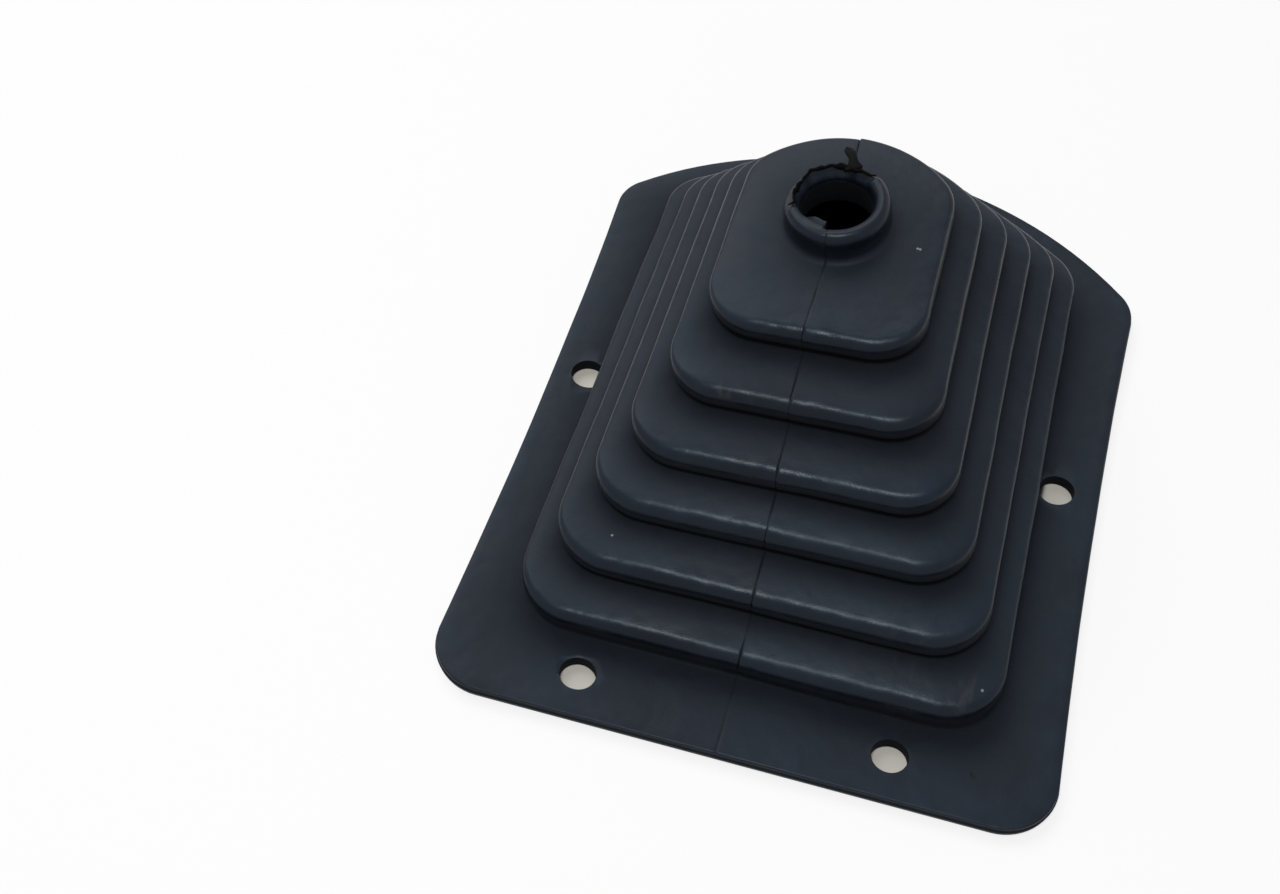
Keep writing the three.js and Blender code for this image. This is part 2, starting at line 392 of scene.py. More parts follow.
def collar_corners():
    """Fillet, plumb wall, bead or torn edge, the ledge in the bore and the bore's lower edge."""
    foot = lip_height(0) + COLLAR.cap_rise
    top = foot + COLLAR.height
    outer, bore = COLLAR.bore + COLLAR.wall, COLLAR.bore
    half, bead = 0.97 * COLLAR.wall / 2, COLLAR.bead
    torn, ledge = torn_share(BEARINGS), ledge_share(BEARINGS)
    ledge_top = top - mixed(ledge, LEDGE.elsewhere, LEDGE.down)
    ledge_edge = bore - ledge * (LEDGE.width + LEDGE.ragged * ragged(BEARINGS, 3))
    edge_trims = mixed(torn, bead, 0.3), mixed(torn, half, 0.3)
    bore_trims = mixed(torn, half, 1.0), mixed(np.maximum(ledge, torn), bead, 0.5)
    # The groove marks are painted shade at the collar's foot and down the bore, where little light
    # gets in.
    return [
        corner(collar_ring(outer, foot), 1.3, 4, groove=0.5),
        corner(collar_ring(outer, top - COLLAR.plain), mixed(torn, 0.2, 0.9), 2),
        corner(collar_ring(*torn_crest(BEARINGS)), edge_trims, 7, lip=0.7, torn=1),
        corner(collar_ring(bore, top - torn * TORN.funnel), bore_trims, 6),
        corner(collar_ring(bore, ledge_top), 0.2, 1, groove=0.5),
        corner(collar_ring(ledge_edge, ledge_top - LEDGE.slope), 0.2, 2),
        corner(collar_ring(ledge_edge, ledge_top - LEDGE.thickness), 0.2, 2, groove=0.7, hidden=1),
        corner(collar_ring(bore, ledge_top - LEDGE.foot), 0.2, 1, groove=1, hidden=1),
        corner(collar_ring(bore, foot - COLLAR.floor), 0.7, 3, groove=1, hidden=1),
    ]


print("corners of the collar:", len(collar_corners()))


# %% Corners of the inside, and the whole section
def fold_inside(index):
    """The wall behind one fold, which steps in over the groove. The lowest has no tread."""
    wall, back = INSIDE.wall, FOLD.neck + INSIDE.wall
    tread = FOLD.tread_fall - FOLD.pitch - wall + INSIDE.tread_ease
    places = [
        (-wall, INSIDE.lip_ease - wall),
        (-wall, INSIDE.shelf - RIM_HEIGHT),
        (-back, -RIM_HEIGHT - INSIDE.roof_ease),
        (-back, tread),
    ]
    return [
        corner(fold_ring(index, out, up), 0.7, 2, hidden=1)
        for out, up in places[: 4 if index < LOWEST else 3]
    ]


def section_corners():
    """The whole section, from the flange's underside round the outside and back down the inside."""
    folds = range(LOWEST + 1)
    mouth = fold_ring(LOWEST, -FOLD.neck - INSIDE.wall, -FLANGE.thickness - lip_height(LOWEST))
    return [
        *flange_corners(),
        *[c for index in reversed(folds) for c in fold_outside(index)],
        *collar_corners(),
        *[c for index in folds for c in fold_inside(index)],
        corner(mouth, 0.4, 2, hidden=1),
    ]


corners = section_corners()
print("corners in the section:", len(corners))

# %% [markdown]
# ## Rounding the corners
# A Bevel modifier would round by one width and lose the columns. Each corner is rounded ring by ring
# with a rational curve instead, which is very nearly a circle's arc: the same formula gives the wide
# lips, the tight grooves and the collar's bead. Long stretches then get rings in between.


# %% Round and fill
SPACING = 1.9
ARC_WEIGHT = 0.76
EDGE = Sizes(at=0.06, reach=0.13)


def towards(start, end, distance):
    """The points of start moved by distance towards those of end, but never the whole way."""
    step = end - start
    share = np.minimum(distance / np.linalg.norm(step, axis=1), 0.9)
    return start + step * share[:, None]


def rounded(corners):
    """Each corner C becomes ((1-t)^2 A + 2 w t (1-t) C + t^2 B) over the sum of the weights.

    A and B lie a trim away from C on the stretch before it and the stretch after it. A fifth mark,
    the peak, is the lip's mark times 4 t (1-t), so it is strongest along the middle of the curve. A
    sixth, the edge, is the lip's mark times 1 - |t - at| / reach where that is above 0.
    """
    rings, marks = [], []
    for k, c in enumerate(corners):
        if not c.steps:
            rings.append(c.ring)
            marks.append([*c.marks, 0, 0])
            continue
        a = towards(c.ring, corners[k - 1].ring, c.before)
        b = towards(c.ring, corners[(k + 1) % len(corners)].ring, c.after)
        for t in np.linspace(0, 1, c.steps + 1):
            wa, wc, wb = (1 - t) ** 2, 2 * ARC_WEIGHT * t * (1 - t), t**2
            rings.append((wa * a + wc * c.ring + wb * b) / (wa + wc + wb))
            middle, start = 4 * t * (1 - t), max(0, 1 - abs(t - EDGE.at) / EDGE.reach)
            marks.append([*c.marks, c.marks[0] * middle, c.marks[0] * start])
    return np.array(rings), np.array(marks)


def filled(rings, marks):
    """Rings between neighbours that lie far apart, at even shares. Their marks blend likewise."""
    nexts = np.roll(rings, -1, axis=0)
    gaps = np.linalg.norm(nexts - rings, axis=2).mean(axis=1)
    counts = np.maximum(np.round(gaps / SPACING), 1).astype(int)
    start = np.repeat(np.arange(len(rings)), counts)
    share = np.concatenate([np.arange(n) / n for n in counts])
    points = rings[start] + (nexts[start] - rings[start]) * share[:, None, None]
    blend = marks[start] + (np.roll(marks, -1, axis=0)[start] - marks[start]) * share[:, None]
    return points, blend


skin, marks = filled(*rounded(corners))
print("rings", len(skin), "points", skin.shape[0] * skin.shape[1])

# %% [markdown]
# ## What the mould and soft rubber add
# A moulding from a two-part mould has a parting line: here a fine groove with the right half
# standing a hair prouder than the left. Soft rubber is never quite true either, so the outside is
# moved along its normals by slow waves of a few tenths of a millimetre. The underside stays flat.


# %% Relief of the skin
def grid_normals(points):
    """Unit normals of a grid that closes both ways: the cross product of its two differences."""
    along = np.roll(points, -1, axis=1) - np.roll(points, 1, axis=1)
    across = np.roll(points, -1, axis=0) - np.roll(points, 1, axis=0)
    normal = np.cross(along, across)
    return normal / np.maximum(np.linalg.norm(normal, axis=2, keepdims=True), 1e-9)


def slow_waves(points, seed, wavelength):
    """The mean of six sine waves in random directions, with wavelengths near the one given."""
    rng = np.random.default_rng(seed)
    directions = rng.normal(size=(6, 3))
    directions /= np.linalg.norm(directions, axis=1, keepdims=True)
    turns = 2 * np.pi / (wavelength * rng.uniform(0.7, 1.5, 6))
    phases = rng.uniform(0, 2 * np.pi, 6)
    return np.sin((points @ directions.T) * turns + phases).mean(axis=-1)


def seam_distance(points):
    """Signed distance in each ring from the nearer end of the parting line, positive to its right."""
    near = np.stack([points - points[:, :1], points - points[:, BACK_COLUMN : BACK_COLUMN + 1]])
    distance = np.linalg.norm(near, axis=3).min(axis=0)
    column = np.arange(points.shape[1])
    return np.where(column < BACK_COLUMN, distance, -distance)


SEAM_LINE = Sizes(depth=0.22, width=0.22, step=0.16, reach=6.0, waver=8.0, faint=0.6, past_lip=4)
UNEVEN = Sizes(slow=0.5, slow_length=44.0, fine=0.12, fine_length=13.0, flange=0.3, soft_above=8)

lip, groove, hidden, torn_ring, peak, edge = marks.T[:, :, None]
normals = grid_normals(skin)
from_seam = seam_distance(skin)
waver = np.clip(0.7 + 0.9 * slow_waves(skin, 14, SEAM_LINE.waver), 0.15, 1) * (1 - hidden)
on_folds = smooth(skin[:, :, 2]) * smooth(lip_height(0) + SEAM_LINE.past_lip - skin[:, :, 2])
parting = np.exp(-((from_seam / SEAM_LINE.width) ** 2)) * waver
parting *= mixed(on_folds, SEAM_LINE.faint, 1)
step = np.sign(from_seam) * np.exp(-np.abs(from_seam) / SEAM_LINE.reach)
softness = mixed(smooth(skin[:, :, 2] / UNEVEN.soft_above), UNEVEN.flange, 1)
slow = UNEVEN.slow * slow_waves(skin, 4, UNEVEN.slow_length)
fine = UNEVEN.fine * slow_waves(skin, 9, UNEVEN.fine_length)
relief = (
    softness * (slow + fine)
    + SEAM_LINE.step * (0.2 + 0.8 * lip) * step
    - SEAM_LINE.depth * parting
)
flat_length = np.linalg.norm(normals[:, :, :2], axis=2)
# Painted highlight: marks a thin line at the outer edge of the side lips, which the rubber paints
# pale.
sideways = smooth((np.abs(normals[:, :, 0]) / np.maximum(flat_length, 1e-9) - 0.75) / 0.2)
rubbed = edge * (lip > 0.9) * sideways
# The torn crest is painted near-black, partly as painted shade along the torn edge.
torn = torn_ring * torn_share(BEARINGS)
# Painted shade: walls that stand upright are marked so that the rubber darkens them.
plumb = 1 - smooth((normals[:, :, 2] - 0.05) / 0.5)
skin = skin + normals * (relief * (1 - hidden))[:, :, None]
print("relief from", round(relief.min(), 2), "to", round(relief.max(), 2), "mm")

# %% [markdown]
# ## From grid to mesh
# The grid closes both ways, like a ring doughnut's skin, so every point has four faces and there is
# no cap or pole to mend. Marks for lips, grooves, plumb walls and the parting line are stored on the
# points, where the material can read them. The groove and plumb marks paint shade, and a mark on
# the outer edge of the side lips paints a thin highlight there.


# %% Mesh helpers
def to_frame(points):
    """Millimetres in the drawing to metres in the packed frame."""
    return (points + [0, -FLANGE.back / 2, FLANGE.thickness]) * MM


def closed_grid_faces(rings, columns):
    """Quads between each ring and the next, wrapped round in both directions."""
    ring, column = np.meshgrid(np.arange(rings), np.arange(columns), indexing="ij")
    after = (column + 1) % columns
    above = (ring + 1) % rings
    corners_of = [(ring, column), (ring, after), (above, after), (above, column)]
    return np.stack([r * columns + c for r, c in corners_of], axis=-1).reshape(-1, 4)


def tube_faces(rings, columns):
    """Quads along a tube of rings, and one face over each of its ends."""
    last = (rings - 1) * columns
    ends = [list(range(columns))[::-1], list(range(last, last + columns))]
    return closed_grid_faces(rings, columns)[:-columns].tolist() + ends


def new_mesh(name, points, faces, **values):
    """A mesh object at the origin, smooth, with one float attribute for each named value."""
    mesh = bpy.data.meshes.new(name)
    mesh.from_pydata(points.tolist(), [], faces)
    for key, value in values.items():
        layer = mesh.attributes.new(key, "FLOAT", "POINT")
        layer.data.foreach_set("value", np.ascontiguousarray(value, dtype=np.float32).ravel())
    mesh.shade_smooth()
    piece = bpy.data.objects.new(name, mesh)
    bpy.context.collection.objects.link(piece)
    return piece


rings, columns = skin.shape[:2]
gaiter = new_mesh(
    "gaiter",
    to_frame(skin).reshape(-1, 3),
    closed_grid_faces(rings, columns).tolist(),
    peak=np.broadcast_to(peak, (rings, columns)),
    groove=np.broadcast_to(groove, (rings, columns)),
    parting=parting,
    rubbed=rubbed,
    torn=torn,
    plumb=plumb,
)
print("gaiter faces", len(gaiter.data.polygons))

# %% [markdown]
# ## Screw holes
# The holes are punched after moulding, so they are a little out of round. Each cutter is a lathed
# plug: narrow through the flange and flared where it leaves each face, which leaves a soft edge. One
# Boolean takes all six, and its result is applied so that no cutter stays in the scene.

# %% Cutters
HOLE = Sizes(across=4.25, along=4.0, flare=0.15, soft=0.3, over=1.0, wobble=0.06, segments=72)
HOLE_WALL = Sizes(mark=1.45, short_of_face=0.06)


def hole_centres():
    """Three pairs, held to the front edge, the sides and the arch, each off to the left."""
    c = centres(FLANGE)
    front_x, front_y, front_off = 36.9, 10.6, -2.1
    side_off, from_side, behind_middle = -0.7, 9.7, 2.1
    back_x, from_arch, back_off = 34.0, 7.1, -1.2
    side_y = FLANGE.back / 2 + behind_middle
    left_of_run = (c.shoulder_y - side_y) / (c.shoulder_y - c.corner_y)
    flare = (FLANGE.half_front - FLANGE.half_back) * left_of_run**FLANGE.bow
    side_x = FLANGE.half_back + flare - from_side
    back_y = c.arch_y + np.sqrt((c.arch_radius - from_arch) ** 2 - back_x**2)
    pairs = [(front_x, front_y, front_off), (side_x, side_y, side_off), (back_x, back_y, back_off)]
    return [(off + side * x, y) for x, y, off in pairs for side in (-1, 1)]


def plug(x, y, seed):
    """A closed plug with a slightly oval, wavering section, flared near both faces of the flange."""
    rng = np.random.default_rng(seed)
    angle = np.linspace(0, 2 * np.pi, HOLE.segments, endpoint=False)
    phases = rng.uniform(0, 2 * np.pi, 3)
    wobble = sum(np.sin(n * angle + p) / n for n, p in zip((2, 3, 5), phases)) * HOLE.wobble
    low, t = -FLANGE.thickness, HOLE.soft
    heights = [low - HOLE.over, low, low + t / 3, low + t, -t, -t / 3, 0.0, HOLE.over]
    flares = [1.2, 1.0, 0.4, 0.0, 0.0, 0.4, 1.0, 1.2]
    grow = wobble[None] + np.array(flares)[:, None] * HOLE.flare
    sides = np.stack(
        [
            x + (HOLE.across + grow) * np.cos(angle),
            y + (HOLE.along + grow) * np.sin(angle),
            np.broadcast_to(np.array(heights)[:, None], grow.shape),
        ],
        axis=2,
    )
    return sides.reshape(-1, 3), tube_faces(len(heights), HOLE.segments)


def cut_holes(piece):
    """Subtracts every plug with one exact Boolean and keeps the result as the piece's mesh."""
    points, faces, count = [], [], 0
    for seed, (x, y) in enumerate(hole_centres()):
        plug_points, plug_faces = plug(x, y, seed)
        points.append(plug_points)
        faces += [[v + count for v in face] for face in plug_faces]
        count += len(plug_points)
    plugs = new_mesh("plugs", to_frame(np.concatenate(points)), faces)
    cut = piece.modifiers.new("holes", "BOOLEAN")
    cut.operation = "DIFFERENCE"
    cut.solver = "EXACT"
    cut.object = plugs
    graph = bpy.context.evaluated_depsgraph_get()
    result = bpy.data.meshes.new_from_object(piece.evaluated_get(graph))
    piece.modifiers.clear()
    piece.data = result
    bpy.data.objects.remove(plugs)


def shade_hole_walls(piece):
    """Raises the groove mark on points of a hole's punched wall, between the flange's two faces."""
    mesh = piece.data
    places = np.empty(len(mesh.vertices) * 3, dtype=np.float32)
    mesh.vertices.foreach_get("co", places)
    places = places.reshape(-1, 3)
    layer = mesh.attributes["groove"]
    marks = np.empty(len(places), dtype=np.float32)
    layer.data.foreach_get("value", marks)
    for x, y in hole_centres():
        away = (places - to_frame(np.array([x, y, -FLANGE.thickness / 2]))) / MM
        near = np.hypot(away[:, 0], away[:, 1]) < HOLE.across + HOLE.flare + HOLE.wobble
        inside = np.abs(away[:, 2]) < FLANGE.thickness / 2 - HOLE_WALL.short_of_face
        # Painted shade on the holes' walls: their groove mark darkens them towards black.
        marks[near & inside] = HOLE_WALL.mark
    layer.data.foreach_set("value", marks)
    print("points on the holes' walls:", int((marks == np.float32(HOLE_WALL.mark)).sum()))


cut_holes(gaiter)
shade_hole_walls(gaiter)
print("after the holes:", len(gaiter.data.polygons), "faces", [a.name for a in gaiter.data.attributes])

# %% [markdown]
# ## The torn skin on the crest
# Along the torn edge a thin skin of rubber still stands up, and one torn tag hangs over the cap. Both
# are slivers: a flat oval section carried along a path, with a width that varies along it.


# %% Slivers
def sliver(name, path, across, width, thickness, sides=10):
    """A closed sliver: at each point of the path, an oval that is wide along the vector across.

    Point = path + across w cos a + side (t / 2) sin a, where side is square to path and across.
    """
    along = np.gradient(path, axis=0)
    side = np.cross(along, across)
    side /= np.linalg.norm(side, axis=1, keepdims=True)
    angle = np.linspace(0, 2 * np.pi, sides, endpoint=False)
    wide = width[:, None, None] * across[:, None] * np.cos(angle)[None, :, None]
    thick = thickness * side[:, None] * np.sin(angle)[None, :, None] / 2
    points = to_frame((path[:, None] + wide + thick).reshape(-1, 3))
    return new_mesh(name, points, tube_faces(len(path), sides))


def unit(vectors):
    """Each vector divided by its length."""
    return vectors / np.linalg.norm(vectors, axis=-1, keepdims=True)


# %% The torn skin
SKIN = Sizes(points=160, width=0.22, stand=0.75, thickness=0.45, fade=0.08)
share = np.linspace(0, 1, SKIN.points)
bearing = np.radians(TORN.start + (TORN.end - TORN.start) * share)
edge_radius, edge_height = torn_crest(bearing)
edge_path = round_collar(bearing, edge_radius, edge_height)
outwards = unit(edge_path - round_collar(bearing, edge_radius - 1, edge_height))
faded = smooth(np.minimum(share, 1 - share) / SKIN.fade)
stand = (0.45 + 0.55 * ragged(bearing, 12)) * faded
torn_skin = sliver(
    "torn_skin",
    edge_path,
    unit(outwards * 0.5 + np.array([0, 0, 0.85])),
    SKIN.width + SKIN.stand * stand,
    SKIN.thickness,
)
print("torn skin along", round(np.linalg.norm(np.diff(edge_path, axis=0), axis=1).sum(), 1), "mm")

# %% The torn tag
TAG = Sizes(
    points=30,
    root=80.0,
    tip=(-8.6, 125.9, 66.8),
    thickness=0.9,
    rise=0.8,
    sway=0.5,
    width=1.15,
    wider_root=1.1,
    root_share=0.2,
    waver=0.12,
    blunt=0.12,
)
share = np.linspace(0, 1, TAG.points)
root_radius, root_height = torn_crest(np.radians([TAG.root]))
root = round_collar(np.radians([TAG.root]), root_radius, root_height)[0]
tag_path = root + (np.array(TAG.tip) - root) * share[:, None]
tag_path[:, 2] += TAG.rise * np.sin(np.pi * share)
tag_path[:, 0] += TAG.sway * np.sin(3.4 * share)
at_root = np.exp(-((share / TAG.root_share) ** 2))
tag_width = TAG.width + TAG.wider_root * at_root + TAG.waver * np.sin(11 * share)
tag_width *= np.sqrt(np.clip((1.02 - share) / TAG.blunt, 0, 1))
tag_across = unit(np.tile([0.9, 0.35, 0.2], (TAG.points, 1)))
torn_tag = sliver("torn_tag", tag_path, tag_across, tag_width, TAG.thickness)
print("torn tag", round(np.linalg.norm(np.array(TAG.tip) - root), 1), "mm from root to tip")

# %% [markdown]
# ## Shader maths as expressions
# A material's nodes are easier to read as formulas. The class below wraps one socket, and each
# operator adds the Math node that does it, so `bloom * 0.7` works as written. Any other node comes
# from one method that takes its type, its inputs and its settings.


# %% The socket class
class Value:
    """A socket of a node tree. Sums, products and powers of values add their Math nodes."""

    def __init__(self, shader, socket):
        self.shader = shader
        self.socket = socket

    def math(self, operation, *others):
        """The Math node of one operation on this value and the others."""
        return self.shader.maths(operation, self, *others)

    def __add__(self, other):
        return self.math("ADD", other)

    def __radd__(self, other):
        return self.math("ADD", other)

    def __sub__(self, other):
        return self.math("SUBTRACT", other)

    def __mul__(self, other):
        return self.math("MULTIPLY", other)

    def __truediv__(self, other):
        return self.math("DIVIDE", other)

    def __pow__(self, other):
        return self.math("POWER", other)

    def clamped(self):
        """The value held between 0 and 1."""
        return self.math("MAXIMUM", 0.0).math("MINIMUM", 1.0)

    def between(self, low, high):
        """0 below low, 1 above high and a smooth step from one to the other."""
        settings = {"interpolation_type": "SMOOTHSTEP"}
        inputs = {"Value": self, "From Min": low, "From Max": high}
        return self.shader.out("ShaderNodeMapRange", 0, inputs, settings)


# %% The shader class
class Shader:
    """The node tree of a material or a world, with one method that adds any node."""

    def __init__(self, owner):
        self.owner = owner
        owner.use_nodes = True
        self.tree = owner.node_tree
        self.tree.nodes.clear()

    def node(self, kind, inputs=None, settings=None):
        """Adds a node, sets its settings first, then puts a value or a link in each named socket."""
        node = self.tree.nodes.new(kind)
        for key, value in (settings or {}).items():
            setattr(node, key, value)
        for key, value in (inputs or {}).items():
            if isinstance(value, Value):
                self.tree.links.new(value.socket, node.inputs[key])
            else:
                node.inputs[key].default_value = value
        return node

    def out(self, kind, output, inputs=None, settings=None):
        """Adds a node and gives one of its outputs."""
        return Value(self, self.node(kind, inputs, settings).outputs[output])

    def maths(self, operation, *inputs):
        """The Math node of one operation on any number of inputs."""
        return self.out("ShaderNodeMath", 0, dict(enumerate(inputs)), {"operation": operation})

    def place(self):
        """The point being shaded, in the piece's own coordinates, in metres."""
        return self.out("ShaderNodeTexCoord", "Object")

    def attribute(self, name):
        """One of the marks stored on the mesh's points."""
        return self.out("ShaderNodeAttribute", "Fac", settings={"attribute_name": name})

    def noise(self, place, scale, detail, roughness):
        """Noise from 0 to 1. Its scale is in grains to a metre."""
        inputs = {"Vector": place, "Scale": scale, "Detail": detail, "Roughness": roughness}
        return self.out("ShaderNodeTexNoise", 0, inputs)

    def stretched(self, place, scale, turn):
        """The place scaled by three numbers and turned about Z, for a pattern with a direction."""
        inputs = {"Vector": place, "Scale": scale, "Rotation": (0.0, 0.0, turn)}
        return self.out("ShaderNodeMapping", 0, inputs)

    def blend(self, share, first, second):
        """first where the share is 0 and second where it is 1, for colours."""
        inputs = {0: share, 6: first, 7: second}
        return self.out("ShaderNodeMix", 2, inputs, {"data_type": "RGBA"})

    def far_from(self, place, spot):
        """Distance in metres from a spot given in the packed frame."""
        inputs = {0: place, 1: spot}
        return self.out("ShaderNodeVectorMath", "Value", inputs, {"operation": "DISTANCE"})

    def seen(self):
        """1 for what the camera sees itself or in a reflection, 0 for light on its way to others."""
        rays = ("Is Camera Ray", "Is Glossy Ray", "Is Transmission Ray")
        return sum(self.out("ShaderNodeLightPath", ray) for ray in rays).clamped()

    def finish(self, surface, output="ShaderNodeOutputMaterial"):
        """Joins the surface to the output node and gives the material or world back."""
        self.node(output, {"Surface": surface})
        return self.owner


# %% [markdown]
# ## Black rubber
# Moulded rubber is a very dark blue-grey with a soft sheen. What makes it look real is uneven: a
# faint pale bloom in clouds, smoother lips where it has been handled, light scuffs, smudges, nicks
# and specks. Shade and light are painted in too: plumb walls and deep grooves are darkened as
# painted shade, and a thin pale line along the outer edge of the side lips is a painted highlight.
# Torn rubber is blacker, partly as painted shade along the torn edge.

# %% The rubber's colours and marks
RUBBER = Sizes(
    deep=(0.0038, 0.0058, 0.0102, 1),
    body=(0.0060, 0.0092, 0.0158, 1),
    bloom=(0.0112, 0.0168, 0.0258, 1),
    worn=(0.0460, 0.0480, 0.0430, 1),
    scuff=(0.0420, 0.0440, 0.0450, 1),
    black=(0.0022, 0.0025, 0.0032, 1),
    torn=(0.0009, 0.0010, 0.0013, 1),
    speck=(0.2000, 0.2050, 0.1950, 1),
    sheen=(0.7900, 0.8850, 1.0000, 1),
)
SPECKS = [
    ((12.9, 105.5, 62.15), 0.38),
    ((13.5, 105.5, 62.1), 0.38),
    ((-38.9, 37.2, 19.5), 0.35),
    ((51.3, 27.1, 10.8), 0.45),
]
NICKS = [((53.4, 11.5, 0.0), 0.45), ((53.8, 11.0, 0.0), 0.5), ((54.2, 10.7, 0.0), 0.35)]
SMUDGES = [((35.5, 17.5, 0.0), 5.0), ((39.5, 19.0, 0.0), 4.0)]
SCUFFS = [((33.0, 30.5, 11.0), 17.0), ((-20.0, 66.0, 51.0), 12.0), ((45.0, 27.0, 10.0), 11.0)]
print("colours", len(vars(RUBBER)), "spots", sum(map(len, (SPECKS, NICKS, SMUDGES, SCUFFS))))


# %% The rubber materials
def spot_in_frame(spot):
    """A spot drawn in millimetres, in metres in the frame."""
    return tuple(to_frame(np.array(spot, dtype=float)))


def near_spots(s, place, spots, core):
    """1 near any of the spots and 0 beyond its reach, as one value."""
    near = 0
    for spot, reach in spots:
        near = near + s.far_from(place, spot_in_frame(spot)).between(reach * MM, reach * MM * core)
    return near.clamped()


def rubber(name):
    """The whole rubber, from the clouds of bloom down to the grain. Later marks cover earlier ones."""
    s = Shader(bpy.data.materials.new(name))
    place = s.place()
    peak = s.attribute("peak").clamped()
    groove_shade = s.attribute("groove").math("MINIMUM", 1.2)
    parting = s.attribute("parting").clamped()
    torn = s.attribute("torn").clamped()
    clouds = s.noise(place, 26.0, 4.0, 0.6)
    fine = s.noise(place, 210.0, 4.0, 0.65)
    grain = s.noise(place, 2600.0, 2.0, 0.5)
    dents = s.noise(place, 105.0, 2.0, 0.45)
    drift = s.noise(s.stretched(place, (1.0, 0.25, 1.0), 0.5), 330.0, 3.0, 0.6)

    bloom = (clouds.between(0.4, 0.72) * 0.7 + fine.between(0.45, 0.8) * 0.3).clamped()
    colour = s.blend(bloom, RUBBER.body, RUBBER.bloom)
    colour = s.blend(clouds.between(0.5, 0.25) * 0.7, colour, RUBBER.deep)
    scuffs = near_spots(s, place, SCUFFS, 0.2) * drift.between(0.52, 0.74)
    colour = s.blend(scuffs * 0.5, colour, RUBBER.scuff)
    # Painted highlight: a thin pale line along the outer edge of the side lips.
    rubbed = s.attribute("rubbed").clamped() * fine.between(0.38, 0.6)
    colour = s.blend(rubbed * 0.3, colour, RUBBER.worn)
    # Painted shade: plumb walls, grooves, rims under the lips, the bore and the holes' walls darken.
    colour = s.blend(s.attribute("plumb").clamped() * 0.55, colour, RUBBER.black)
    colour = s.blend((groove_shade**1.4 * 0.78).clamped(), colour, RUBBER.black)
    colour = s.blend(parting * 0.8, colour, RUBBER.black)
    # The torn crest turns near-black, partly as painted shade along the torn edge.
    colour = s.blend(torn, colour, RUBBER.black)
    smudges = near_spots(s, place, SMUDGES, 0.3) * drift.between(0.4, 0.6)
    colour = s.blend(smudges * 0.7, colour, RUBBER.black)
    colour = s.blend(near_spots(s, place, NICKS, 0.5), colour, RUBBER.torn)
    colour = s.blend(near_spots(s, place, SPECKS, 0.6), colour, RUBBER.speck)

    smoothness = peak * 0.08 + 0.02
    roughness = 0.32 + bloom * 0.1 + fine * 0.12 + groove_shade * 0.45 + scuffs * 0.1 - smoothness
    height = dents + fine * 0.22 + grain * 0.07
    bump = s.out("ShaderNodeBump", 0, {"Strength": 0.5, "Distance": 0.0009, "Height": height})
    inputs = {"Base Color": colour, "Roughness": roughness, "IOR": 1.5, "Normal": bump}
    inputs["Specular IOR Level"] = 0.17
    inputs["Specular Tint"] = RUBBER.sheen
    return s.finish(s.out("ShaderNodeBsdfPrincipled", 0, inputs))


def torn_rubber(name):
    """Fresh torn rubber: blacker than the moulded skin, partly painted shade, too uneven to shine."""
    s = Shader(bpy.data.materials.new(name))
    fine = s.noise(s.place(), 900.0, 3.0, 0.6)
    bump = s.out("ShaderNodeBump", 0, {"Strength": 0.5, "Distance": 0.0003, "Height": fine})
    inputs = {"Base Color": RUBBER.torn, "Roughness": 0.5 + fine * 0.3, "Normal": bump}
    inputs["Specular IOR Level"] = 0.05
    return s.finish(s.out("ShaderNodeBsdfPrincipled", 0, inputs))


# %% Dress the pieces
black = rubber("black_rubber")
torn_and_shade = torn_rubber("torn_rubber")
for piece, material in ((gaiter, black), (torn_skin, torn_and_shade), (torn_tag, torn_and_shade)):
    piece.data.materials.clear()
    piece.data.materials.append(material)
    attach(piece, "root")
gaiter.data.set_sharp_from_angle(angle=np.radians(50))
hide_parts(NODE)
print("rubber nodes:", len(black.node_tree.nodes))

# %% [markdown]
# ## Floor, light and camera
# The photograph has a plain white ground and soft light. The floor is white by its own colour, so
# that it keeps the gaiter's shadow. A small lamp over the front draws the thin line of light along
# each front lip, a wide one behind on the left gives the treads their sheen, and a dim white world
# fills the shadows.


# %% Floor and world
# Painted shade: the floor under the mouth is near-black, so that the bore looks black.
SHADE_UNDER_MOUTH = Sizes(half_width=0.056, front=-0.069, arch_y=-0.0088, arch=0.0855)
SHADED = Sizes(half_width=0.066, front=-0.087, arch_y=-0.0085, arch=0.0955)
FLOOR = Sizes(
    half=3.0,
    below=0.0002,
    white=(0.93, 0.93, 0.93, 1),
    beige=(0.56, 0.54, 0.49, 1),
    dark=(0.02, 0.02, 0.02, 1),
    shown_white=0.72,
)
WHITE = (1, 1, 1, 1)
FILL = 0.15


def outside_of(s, place, area):
    """0 inside an area with an arched back and 1 outside it.

    It ends where the largest of |x| / half_width, y / front and the distance from the arch's
    centre / arch reaches 1.
    """
    x, y = (s.out("ShaderNodeSeparateXYZ", axis, {0: place}) for axis in "XY")
    arch = s.far_from(place, (0, area.arch_y, 0)) / area.arch
    edge = (x.math("ABSOLUTE") / area.half_width).math("MAXIMUM", y / area.front)
    return edge.math("MAXIMUM", arch).between(0.99, 1.01)


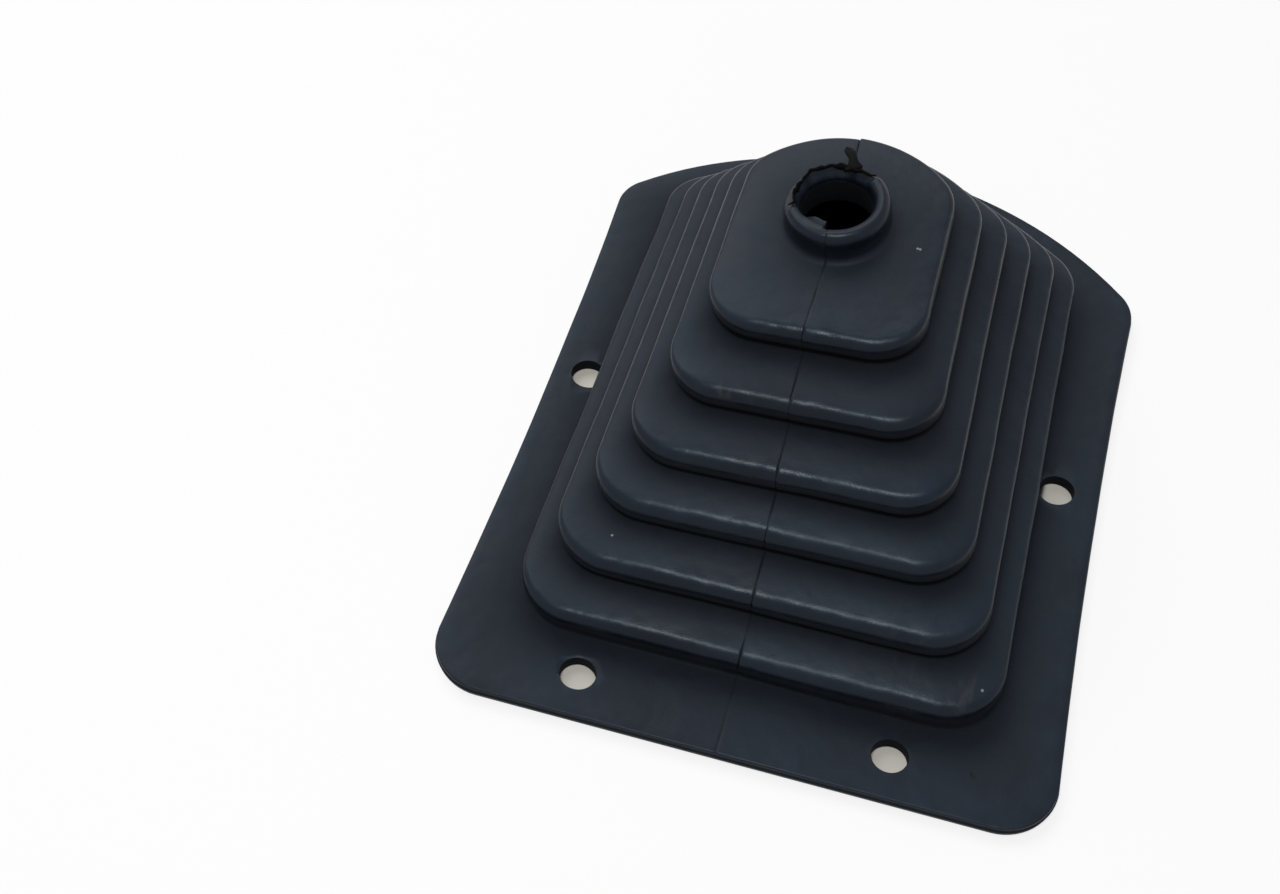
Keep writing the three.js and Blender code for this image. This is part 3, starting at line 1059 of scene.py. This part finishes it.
def ground(name):
    """A white floor that keeps its shadow, shown part of the way to plain white where it is seen.

    Under the mouth it is near-black, a painted shade so that the bore looks black. Under the flange,
    where it is seen only through the screw holes, it is beige and its own light and shade show.
    """
    s = Shader(bpy.data.materials.new(name))
    place = s.place()
    in_the_open = outside_of(s, place, SHADED)
    base = s.blend(in_the_open, FLOOR.beige, FLOOR.white)
    # Painted shade under the mouth.
    base = s.blend(outside_of(s, place, SHADE_UNDER_MOUTH), FLOOR.dark, base)
    inputs = {"Base Color": base, "Roughness": 0.9, "Specular IOR Level": 0.2}
    lit = s.out("ShaderNodeBsdfPrincipled", 0, inputs)
    white = s.out("ShaderNodeEmission", 0, {"Color": WHITE, "Strength": 1.0})
    share = s.seen() * in_the_open * FLOOR.shown_white
    return s.finish(s.out("ShaderNodeMixShader", 0, {0: share, 1: lit, 2: white}))


floor_points = np.array([[-1, -1, 0], [1, -1, 0], [1, 1, 0], [-1, 1, 0]]) * FLOOR.half
floor_points[:, 2] = -FLOOR.below
floor = new_mesh("floor", floor_points, [[0, 1, 2, 3]])
floor.data.materials.append(ground("white_floor"))


def white_world(fill):
    """White to the camera and in reflections, and a dimmer white as light."""
    s = Shader(bpy.data.worlds.new("studio"))
    light = s.out("ShaderNodeBackground", 0, {"Color": WHITE, "Strength": fill})
    shown = s.out("ShaderNodeBackground", 0, {"Color": WHITE, "Strength": 1.0})
    mix = s.out("ShaderNodeMixShader", 0, {0: s.seen(), 1: light, 2: shown})
    return s.finish(mix, "ShaderNodeOutputWorld")


bpy.context.scene.world = white_world(FILL)
print("floor", 2 * FLOOR.half, "m across, shown", FLOOR.shown_white, "of the way to white")


# %% Lamps
def lamp(name, place, aim, size, power):
    """A rectangular area lamp at a place, turned so that it shines at its aim."""
    data = bpy.data.lights.new(name, "AREA")
    data.shape = "RECTANGLE"
    data.size, data.size_y = size
    data.energy = power
    thing = bpy.data.objects.new(name, data)
    bpy.context.collection.objects.link(thing)
    thing.location = place
    thing.rotation_euler = (Vector(aim) - Vector(place)).to_track_quat("-Z", "Y").to_euler()
    return thing


lamps = [
    lamp("over_the_front", (-0.06, -0.36, 1.1), (0, 0, 0), (0.29, 0.16), 7.0),
    lamp("back_left", (-0.6, 0.66, 1.02), (0, 0, 0.02), (1.35, 0.85), 10.2),
]
print("lamps", [(thing.name, round(thing.data.energy, 1)) for thing in lamps])

# %% [markdown]
# ## The camera
# The camera stands where the photograph was taken from: to the right of the middle, looking steeply
# down. Its direction, turn and distance give its matrix directly. The lens is longer than a phone's,
# so the far edge of the flange stays nearly as wide as the near one.

# %% Camera
VIEW = Sizes(azimuth=12.66, elevation=56.53, roll=3.53, distance=0.5729, lens=65.56)
VIEW_TARGET = Vector((-0.0421, -0.01525, 0.0034))


def photo_camera():
    """The camera. Its axis back points at it from the target, and roll turns the picture."""
    a, e, roll = np.radians([VIEW.azimuth, VIEW.elevation, VIEW.roll])
    back = Vector((np.sin(a) * np.cos(e), -np.cos(a) * np.cos(e), np.sin(e)))
    level = Vector((0, 0, 1)).cross(back).normalized()
    upright = back.cross(level)
    right = level * np.cos(roll) + upright * np.sin(roll)
    up = upright * np.cos(roll) - level * np.sin(roll)
    camera = bpy.data.objects.new("camera", bpy.data.cameras.new("camera"))
    camera.data.lens = VIEW.lens
    camera.data.sensor_width = 36.0
    camera.data.clip_start = 0.01
    matrix = Matrix((right, up, back)).transposed().to_4x4()
    matrix.translation = VIEW_TARGET + back * VIEW.distance
    camera.matrix_world = matrix
    bpy.context.collection.objects.link(camera)
    return camera


camera = photo_camera()
bpy.context.scene.camera = camera
bpy.context.scene.view_settings.view_transform = "Standard"
print("camera at", np.round(camera.matrix_world.translation, 3), "with a lens of", VIEW.lens, "mm")

# %% Update the view layer
bpy.context.view_layer.update()
